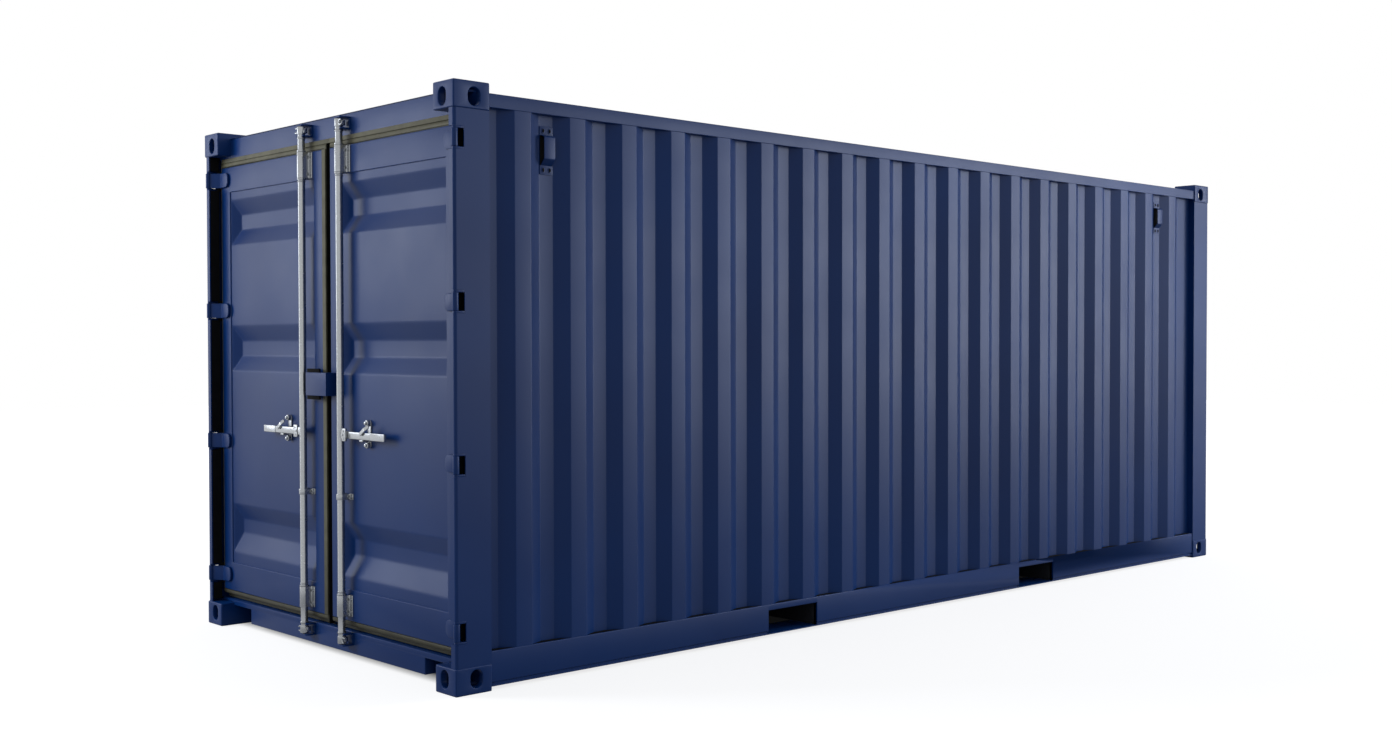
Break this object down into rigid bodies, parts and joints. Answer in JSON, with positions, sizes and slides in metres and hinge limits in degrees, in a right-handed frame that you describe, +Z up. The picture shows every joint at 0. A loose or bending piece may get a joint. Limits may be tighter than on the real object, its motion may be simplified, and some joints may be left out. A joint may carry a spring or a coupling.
{
  "type": "shipping container",
  "caption": "Steel dry cargo container with corrugated walls and roof, hinged end doors with lock rods, fork pockets, plywood floor and hollow corner castings.",
  "frame": {"origin": "centre of the outer box at the level of the bottom castings, where the container meets the ground", "axes": "+X to the right as seen facing the doors, +Y along the length from the doors to the blind end, +Z up"},
  "size_m": [2.438, 6.058, 2.591],
  "materials": {
    "blue_paint": "satin marine paint over grit-blasted weathering steel",
    "casting_paint": "satin marine paint over cast steel",
    "zinc": "hot-dip galvanised",
    "seal_rubber": "extruded EPDM seal",
    "floor_plywood": "oiled hardwood plywood",
    "underframe_coating": "matt bituminous underseal"
  },
  "bodies": {
    "container": {"casting_door_right_bottom": "casting_paint", "casting_door_left_bottom": "casting_paint", "casting_blind_right_bottom": "casting_paint", "casting_blind_left_bottom": "casting_paint", "casting_door_right_top": "casting_paint", "casting_door_left_top": "casting_paint", "casting_blind_right_top": "casting_paint", "casting_blind_left_top": "casting_paint", "door_posts": "blue_paint", "blind_posts": "blue_paint", "top_side_rails": "blue_paint", "bottom_side_rails": "blue_paint", "door_header": "blue_paint", "door_sill": "blue_paint", "end_top_rail": "blue_paint", "end_bottom_rail": "blue_paint", "side_wall_right": "blue_paint", "side_wall_left": "blue_paint", "end_wall": "blue_paint", "roof": "blue_paint", "floor": "floor_plywood", "floor_centre_rail": "underframe_coating", "crossmembers": "underframe_coating", "fork_pockets": "blue_paint", "ventilators": "blue_paint", "cam_keepers": "zinc", "hinge_lugs": "blue_paint"},
    "door_right": {"leaf_frame_right": "blue_paint", "leaf_panel_right": "blue_paint", "leaf_seal_right": "seal_rubber", "hinge_blades_right": "blue_paint", "rod_bearings_right": "zinc", "handle_retainer_right": "zinc", "lock_box_right": "blue_paint"},
    "lock_rod_right": {"lock_rod_right": "zinc"},
    "handle_right": {"handle_right": "zinc"},
    "door_left": {"leaf_frame_left": "blue_paint", "leaf_panel_left": "blue_paint", "leaf_seal_left": "seal_rubber", "hinge_blades_left": "blue_paint", "rod_bearings_left": "zinc", "handle_retainer_left": "zinc", "lock_box_left": "blue_paint"},
    "lock_rod_left": {"lock_rod_left": "zinc"},
    "handle_left": {"handle_left": "zinc"}
  },
  "joints": [
    {"name": "door_right_swing", "type": "hinge", "parent": "container", "child": "door_right", "pos_m": [1.205, -3.015, 1.3], "axis": [0, 0, 1], "range_deg": [0, 268]},
    {"name": "lock_rod_right_turn", "type": "hinge", "parent": "door_right", "child": "lock_rod_right", "pos_m": [0.186, -3, 1.3], "axis": [0, 0, 1], "range_deg": [-100, 0]},
    {"name": "handle_right_lift", "type": "hinge", "parent": "lock_rod_right", "child": "handle_right", "pos_m": [0.231, -3, 1.062], "axis": [0, -1, 0], "range_deg": [0, 30]},
    {"name": "door_left_swing", "type": "hinge", "parent": "container", "child": "door_left", "pos_m": [-1.205, -3.015, 1.3], "axis": [0, 0, -1], "range_deg": [0, 268]},
    {"name": "lock_rod_left_turn", "type": "hinge", "parent": "door_left", "child": "lock_rod_left", "pos_m": [-0.186, -3, 1.3], "axis": [0, 0, -1], "range_deg": [-100, 0]},
    {"name": "handle_left_lift", "type": "hinge", "parent": "lock_rod_left", "child": "handle_left", "pos_m": [-0.231, -3, 1.062], "axis": [0, 1, 0], "range_deg": [0, 30]}
  ]
}
